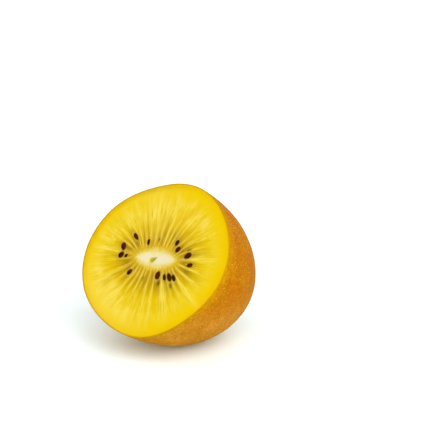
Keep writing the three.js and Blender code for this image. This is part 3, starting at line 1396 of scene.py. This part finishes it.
@dataclass
class Flesh:
    """The golden flesh: its cut face with rays, pockets and seed beds, its side and its hollow."""

    form: FruitForm
    core: CoreForm
    pattern: CutPattern
    finish: FleshFinish = FleshFinish()
    inset: float = 0.36 * MM
    columns: int = 480
    face_rings: int = 120
    side_rings: int = 26
    end_crowding: float = 1.7
    farthest_rim: float = 3.0
    rim_halvings: int = 50
    hollow_rings: int = 8
    pocket_depth: float = 0.06
    ray_height: float = 0.04
    bed_depth: float = 0.08
    bed_breadth: float = 1.5
    wave_scale: float = 110.0
    wave_height: float = 0.04
    rim_drop: float = 0.02
    rim_width: float = 0.25

    def outline(self, bearing: np.ndarray) -> np.ndarray:
        """Finds where the rays meet the peel, by halving.

        Args:
            bearing: the rays' bearings.

        Returns:
            The elliptic coordinates of the meeting places.
        """
        low = np.full(bearing.shape, self.core.edge)
        high = np.full(bearing.shape, self.farthest_rim)
        for _ in range(self.rim_halvings):
            middle = (low + high) / 2
            across, up = self.core.on_ray(bearing, middle)
            limit = (self.form.face_radius - self.inset) * self.form.section(np.arctan2(up, across))
            outside = np.hypot(across, up) > limit
            high = np.where(outside, middle, high)
            low = np.where(outside, low, middle)
        return low

    def build(self) -> bpy.types.Object:
        """Makes the piece.

        Returns:
            The flesh's object.
        """
        bearing = TURN * (np.arange(self.columns) + 0.5) / self.columns
        rim = self.outline(bearing)
        step = np.linspace(0, 1, self.face_rings)[:, None]
        across, up = self.core.on_ray(bearing, self.core.edge + (rim - self.core.edge) * step)
        stride = np.hypot(np.diff(across, axis=0), np.diff(up, axis=0))
        run = np.concatenate([np.zeros((1, self.columns)), np.cumsum(stride, axis=0)])
        marks = self.pattern.marks(across, up, run / run[-1])
        sunk = self.pocket_depth * marks["pocket"] - self.ray_height * marks["ray"]
        sunk += self.bed_depth * np.exp(-((marks["bed"] / self.bed_breadth) ** 4))
        level = self.form.place(across, up, 0.0)
        sunk += self.wave_height * (1 + ripple(level, self.wave_scale))
        sunk += self.rim_drop * np.exp(-(((run[-1] - run) / (self.rim_width * MM)) ** 2))
        face = level + (sunk * MM)[..., None] * self.form.deep
        angle = np.arctan2(up[-1], across[-1])
        left = np.linspace(1, 0, self.side_rings + 2)[1:-1, None]
        profile = math.pi / 2 * (1 - left**self.end_crowding)
        side = self.form.layer(angle[None, :], profile, self.inset, self.inset)
        along = (np.arange(self.hollow_rings - 1, 0, -1) / self.hollow_rings)[:, None]
        hollow = self.form.place(*self.core.inside(bearing, 1 - along**self.core.taper, 0.0),
                                 along * self.core.depth)
        first = self.form.place(*self.core.turned(0.0, 0.0), self.core.depth)
        last = self.form.layer(0.0, math.pi / 2, self.inset, self.inset)
        points = np.concatenate([hollow, face, side])
        rings = Rings(points, first, last, held_on(marks, len(hollow), len(side)))
        flesh = shown("golden_flesh", rings.mesh("golden_flesh"), self.finish.material())
        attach(flesh, BODY)
        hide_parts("flesh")
        return flesh


@dataclass
class Core:
    """The cream core: a spindle in section that tapers into the fruit, with a small pit."""

    form: FruitForm
    shape: CoreForm
    pattern: CutPattern
    finish: CoreFinish = CoreFinish()
    clearance: float = 0.015 * MM
    columns: int = 240
    face_rings: int = 50
    side_rings: int = 10
    wave_scale: float = 110.0
    wave_height: float = 0.04
    grain_scale: float = 600.0
    grain_height: float = 0.04
    pit_centre: tuple[float, float] = (-0.35 * MM, -0.3 * MM)
    pit_half_length: float = 1.5 * MM
    pit_half_width: float = 0.68 * MM
    pit_narrowing: float = 0.7
    pit_depth: float = 0.45 * MM
    pit_turn: float = 32.0

    def pit(self, across: np.ndarray, up: np.ndarray) -> np.ndarray:
        """How deep in the pit places are, from 0 outside it to 1 in its middle."""
        along, aside = along_and_aside(across, up, self.pit_centre, math.radians(self.pit_turn))
        narrowed = self.pit_half_width * (1 - self.pit_narrowing * np.tanh(along / self.pit_half_length))
        return np.exp(-(np.hypot(along / self.pit_half_length, aside / narrowed) ** 3))

    def build(self) -> bpy.types.Object:
        """Makes the piece.

        Returns:
            The core's object.
        """
        angle = TURN * np.arange(self.columns)[None, :] / self.columns
        share = (np.arange(1, self.face_rings + 1) / self.face_rings)[:, None]
        across, up = self.shape.inside(angle, share, -self.clearance)
        pit = self.pit(across, up)
        level = self.form.place(across, up, 0.0)
        sunk = self.wave_height * (1 + ripple(level, self.wave_scale))
        sunk += self.grain_height * (1 + ripple(level, self.grain_scale)) * (1 - share**4)
        face = level + (sunk * MM + self.pit_depth * pit)[..., None] * self.form.deep
        depth = (np.arange(1, self.side_rings) / self.side_rings)[:, None]
        side_across, side_up = self.shape.inside(angle, 1 - depth**self.shape.taper, -self.clearance)
        side = self.form.place(side_across, side_up, depth * self.shape.depth)
        first = face[0].mean(axis=0)
        last = self.form.place(*self.shape.centre, self.shape.depth)
        marks = {**self.pattern.marks(across, up, np.zeros(pit.shape)), "pit": pit}
        rings = Rings(np.concatenate([face, side]), first, last, held_on(marks, 0, len(side)))
        core = shown("cream_core", rings.mesh("cream_core"), self.finish.material())
        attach(core, BODY)
        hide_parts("core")
        return core


@dataclass
class Seeds:
    """The dark seeds in their ring, grown by Geometry Nodes on a point for each."""

    form: FruitForm
    core: CoreForm
    seeds: tuple[Seed, ...]
    finish: SeedFinish = SeedFinish()
    half_thickness: float = 0.5 * MM
    proud: float = 0.28 * MM
    pointed: float = 0.35
    sides: int = 28
    rings: int = 18

    def carrier(self) -> bpy.types.Object:
        """Makes a point for each seed, with its half sizes, its turn and its veil.

        Returns:
            The carrier, which is removed once the seeds have grown.
        """
        spots = [seed.spot(self.core) for seed in self.seeds]
        across, up, direction = (np.array(part) for part in zip(*spots))
        mesh = bpy.data.meshes.new("seed_points")
        mesh.from_pydata(self.form.place(across, up, self.half_thickness - self.proud), [], [])
        face = Matrix((self.form.across, self.form.up, -self.form.deep)).transposed()
        held = {
            "turn": [(face @ Matrix.Rotation(angle, 3, "Z")).to_euler() for angle in direction],
            "half_size": [(seed.length * MM / 2, seed.width * MM / 2, self.half_thickness)
                          for seed in self.seeds],
            "veil": [seed.veil for seed in self.seeds],
        }
        for title, rows in held.items():
            keep(mesh, title, np.array(rows))
        return shown("seed_points", mesh)

    def build(self) -> bpy.types.Object:
        """Makes the piece.

        Returns:
            The seeds' object.
        """
        tree = Growth("seeds")
        sizes = tree.sized(Pointedness=self.pointed)
        ball = tree.node("GeometryNodeMeshUVSphere", None, {
            "Segments": self.sides, "Rings": self.rings, "Radius": 1.0,
        })
        lying = tree.node("GeometryNodeTransform", None, {
            "Geometry": ball.outputs["Mesh"], "Rotation": (0.0, math.pi / 2, 0.0),
        })
        position = tree.node("GeometryNodeInputPosition").outputs[0]
        place = tree.node("ShaderNodeSeparateXYZ", None, {0: position})
        along, aside, above = (tree.value(place, axis) for axis in range(3))
        taper = 1 + tree.value(sizes, "Pointedness") * along
        tapered = tree.node("ShaderNodeCombineXYZ", None, {0: along, 1: aside * taper, 2: above})
        egg = tree.node("GeometryNodeSetPosition", None, {
            "Geometry": lying.outputs[0], "Position": tapered.outputs[0],
        })
        turn, half_size = (
            tree.node("GeometryNodeInputNamedAttribute", {"data_type": "FLOAT_VECTOR"}, {"Name": title})
            for title in ("turn", "half_size")
        )
        points = tree.node("GeometryNodeMeshToPoints", None, {"Mesh": sizes.outputs["Geometry"]})
        placed = tree.node("GeometryNodeInstanceOnPoints", None, {
            "Points": points.outputs[0],
            "Instance": egg.outputs[0],
            "Rotation": turn.outputs["Attribute"],
            "Scale": half_size.outputs["Attribute"],
        })
        seeds = tree.grow(self.carrier(), placed, self.finish.material(), "dark_seeds")
        seeds.data.shade_smooth()
        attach(seeds, BODY)
        return seeds


# --- Studio -------------------------------------------------------------------------------


@dataclass(frozen=True)
class Lamp:
    """One broad, distant studio light.

    Args:
        name: its object's name.
        azimuth: where it stands round the fruit, in degrees from the front.
        elevation: its height above the horizon, in degrees.
        strength: how strongly it lights what faces it; pi lights white to full white.
        breadth: the angle that it fills, in degrees, which softens its shadows.
    """

    name: str
    azimuth: float
    elevation: float
    strength: float
    breadth: float


@dataclass
class Studio:
    """A plain pale floor that glows faintly as painted light, soft light all round and the camera."""

    form: FruitForm
    azimuth: float = 38.3
    elevation: float = 15.0
    distance: float = 441.6 * MM
    right_of_fruit: float = 20.5 * MM
    above_fruit: float = 10.3 * MM
    lens: float = 120.8
    floor_half: float = 3.0
    floor_colour: Colour = (0.82, 0.905, 0.93)
    floor_tint: Colour = (0.84, 0.915, 0.94)
    floor_tint_share: float = 0.2
    floor_patch_scale: float = 2.0
    clip: Band = (10 * MM, 20.0)
    # Painted light: the floor glows faintly, which lifts its shadows and lights the fruit from below.
    glow: Colour = (0.052, 0.052, 0.014)
    sky_strength: float = 0.33
    lamps: tuple[Lamp, ...] = (
        Lamp("key", 57.0, 30.0, 4.1, 70.0),
        Lamp("back", 178.0, 31.0, 1.3, 70.0),
        Lamp("fill", -28.0, 37.0, 0.9, 60.0),
    )

    @staticmethod
    def towards(azimuth: float, elevation: float) -> Vector:
        """Unit vector from the fruit to a place round it; azimuth 0 is in front, at -Y."""
        a, e = math.radians(azimuth), math.radians(elevation)
        return Vector((math.sin(a) * math.cos(e), -math.cos(a) * math.cos(e), math.sin(e)))

    def build_camera(self) -> None:
        """Adds the camera, a little right of the fruit and above it."""
        back = self.towards(self.azimuth, self.elevation)
        turn = back.to_track_quat("Z", "Y")
        right, up = turn @ Vector((1, 0, 0)), turn @ Vector((0, 1, 0))
        camera = bpy.data.objects.new("camera", bpy.data.cameras.new("camera"))
        camera.data.lens = self.lens
        camera.data.clip_start, camera.data.clip_end = self.clip
        aim = Vector(self.form.face_centre) + right * self.right_of_fruit + up * self.above_fruit
        camera.location = aim + back * self.distance
        camera.rotation_mode = "QUATERNION"
        camera.rotation_quaternion = turn
        bpy.context.scene.collection.objects.link(camera)
        bpy.context.scene.camera = camera

    def build_lights(self) -> None:
        """Adds the lamps and the even white surroundings."""
        for lamp in self.lamps:
            light = bpy.data.lights.new(lamp.name, "SUN")
            light.energy, light.angle = lamp.strength, math.radians(lamp.breadth)
            made = bpy.data.objects.new(lamp.name, light)
            made.rotation_mode = "QUATERNION"
            made.rotation_quaternion = self.towards(lamp.azimuth, lamp.elevation).to_track_quat("Z", "Y")
            bpy.context.scene.collection.objects.link(made)
        world = bpy.data.worlds.new("surroundings")
        world.use_nodes = True
        sky = world.node_tree.nodes["Background"].inputs
        sky["Color"].default_value = (1.0, 1.0, 1.0, 1.0)
        sky["Strength"].default_value = self.sky_strength
        bpy.context.scene.world = world

    def build_floor(self) -> None:
        """Adds the floor, whose faint glow is painted light that lifts its shadows and lights the fruit from
        below.
        """
        half = self.floor_half
        mesh = bpy.data.meshes.new("floor")
        corners = [(-half, -half, 0), (half, -half, 0), (half, half, 0), (-half, half, 0)]
        mesh.from_pydata(corners, [], [(0, 1, 2, 3)])
        floor = shown("floor", mesh)
        paint = Paint("floor")
        tone = paint.noise(paint.place(), self.floor_patch_scale, 1.0)
        colour = paint.mix(tone * self.floor_tint_share, self.floor_colour, self.floor_tint)
        floor.data.materials.append(paint.finish(
            Base_Color=colour,
            Roughness=0.9,
            Specular_IOR_Level=0.1,
            Emission_Color=(*self.glow, 1.0),
            Emission_Strength=1.0,
        ))

    def build(self) -> None:
        """Adds everything round the fruit."""
        self.build_camera()
        self.build_lights()
        self.build_floor()
        bpy.context.scene.view_settings.view_transform = "Standard"


SEEDS = (
    Seed(7, 4.1, 2.4, 1.65, 9),
    Seed(34, 2.4, 1.9, 1.4, -19),
    Seed(46, 4.0, 1.8, 1.2, -6, veil=0.8),
    Seed(118, 2.7, 1.8, 0.9, 0, veil=0.9),
    Seed(152, 5.3, 2.5, 1.15, 24),
    Seed(174, 5.5, 2.4, 1.65, -47),
    Seed(181, 5.1, 2.1, 1.6, 47),
    Seed(182, 3.2, 1.2, 0.8, 37, veil=0.8),
    Seed(215, 4.3, 2.0, 1.25, -21),
    Seed(288, 3.0, 2.4, 1.6, -5),
    Seed(306, 3.7, 1.9, 1.0, 12, veil=1.0),
    Seed(319, 3.9, 2.6, 1.4, 20, veil=0.5),
    Seed(330, 4.5, 2.1, 1.1, 11, veil=1.0),
    Seed(358, 5.3, 1.9, 1.15, 18),
)
GHOSTS = (
    Seed(92, 3.6, 1.7, 0.8, 3, 0.8),
    Seed(13, 5.1, 2.0, 0.8, -14, 0.8),
    Seed(294, 5.5, 1.7, 1.0, -3, 1.0),
    Seed(322, 6.7, 1.6, 0.9, 7, 0.8),
    Seed(256, 4.5, 1.7, 0.9, -7, 0.6),
    Seed(352, 5.4, 2.2, 1.4, 9, 0.35),
)
BOLD_RAYS = (
    Ray(5, 1.00, 0.80, 0.90, 0.70, 2.8),
    Ray(78, 0.90, 0.65, 0.80, 0.60),
    Ray(100, 0.55, 0.90, 0.45, 0.45, 3.2),
    Ray(206, 0.60, 0.90, 0.90, 0.75, 2.6),
    Ray(297, 0.85, 0.85, 0.30, 0.30, 4.2),
    Ray(326, 1.00, 0.95, 0.40, 0.40, 2.4),
    Ray(338, 1.00, 0.70, 1.00, 0.75),
    Ray(350, 1.00, 0.65, 0.90, 0.55),
)
OLIVES = (
    Patch(66, 0.27, 12, 0.09, 0.5),
    Patch(36, 0.17, 12, 0.06, 0.4),
    Patch(163, 0.17, 14, 0.08, 0.5),
    Patch(196, 0.17, 14, 0.07, 0.4),
    Patch(262, 0.26, 16, 0.12, 0.35),
    Patch(292, 0.22, 14, 0.10, 0.4),
    Patch(304, 0.36, 9, 0.12, 0.55),
    Patch(346, 0.33, 8, 0.12, 0.5),
    Patch(324, 0.33, 7, 0.08, 0.4),
    Patch(330, 0.46, 16, 0.12, 0.16),
    Patch(104, 0.98, 32, 0.06, 0.28),
    Patch(162, 0.98, 32, 0.06, 0.28),
)
AMBERS = (
    Patch(64, 0.06, 14, 0.07, 0.8),
    Patch(32, 0.06, 10, 0.05, 0.5),
    Patch(128, 0.07, 10, 0.06, 0.8),
    Patch(176, 0.05, 14, 0.05, 0.5),
    Patch(255, 0.06, 14, 0.05, 0.5),
    Patch(310, 0.07, 16, 0.07, 0.9),
    Patch(354, 0.08, 10, 0.06, 0.7),
    Patch(66, 0.48, 5, 0.14, 0.4),
    Patch(133, 0.25, 7, 0.10, 0.35),
)
PALES = (
    Patch(96, 0.19, 34, 0.07, 0.35),
    Patch(100, 0.34, 28, 0.08, 0.25),
    Patch(100, 0.58, 24, 0.18, 0.55),
    Patch(142, 0.68, 24, 0.14, 0.15),
    Patch(220, 0.72, 36, 0.14, 0.2),
    Patch(345, 0.72, 40, 0.20, -0.7),
    Patch(8, 0.45, 5, 0.20, 0.35),
    Patch(297, 0.46, 4.5, 0.24, 0.85),
    Patch(326, 0.68, 4, 0.18, 0.45),
    Patch(50, 0.60, 14, 0.12, 0.25),
    Patch(232, 0.85, 36, 0.16, 0.4),
    Patch(246, 0.17, 22, 0.06, 0.3),
    Patch(112, 0.90, 20, 0.08, 0.25),
)


def main() -> None:
    """Builds the half fruit and its studio."""
    logging.basicConfig(level=logging.INFO, format="%(name)s: %(message)s")
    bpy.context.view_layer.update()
    form, core = FruitForm(), CoreForm()
    rays = RayFan(BOLD_RAYS).rays(core, SEEDS)
    pattern = CutPattern(core, SEEDS, GHOSTS, rays, OLIVES, AMBERS, PALES)
    skin = Skin(form)
    Studio(form).build()
    flesh, heart = Flesh(form, core, pattern), Core(form, core, pattern)
    for maker in (skin, Specks(skin), flesh, heart, Seeds(form, core, SEEDS)):
        piece = maker.build()
        piece.data.calc_loop_triangles()
        log.info("%s: %d triangles", piece.name, len(piece.data.loop_triangles))


if __name__ == "__main__":
    main()
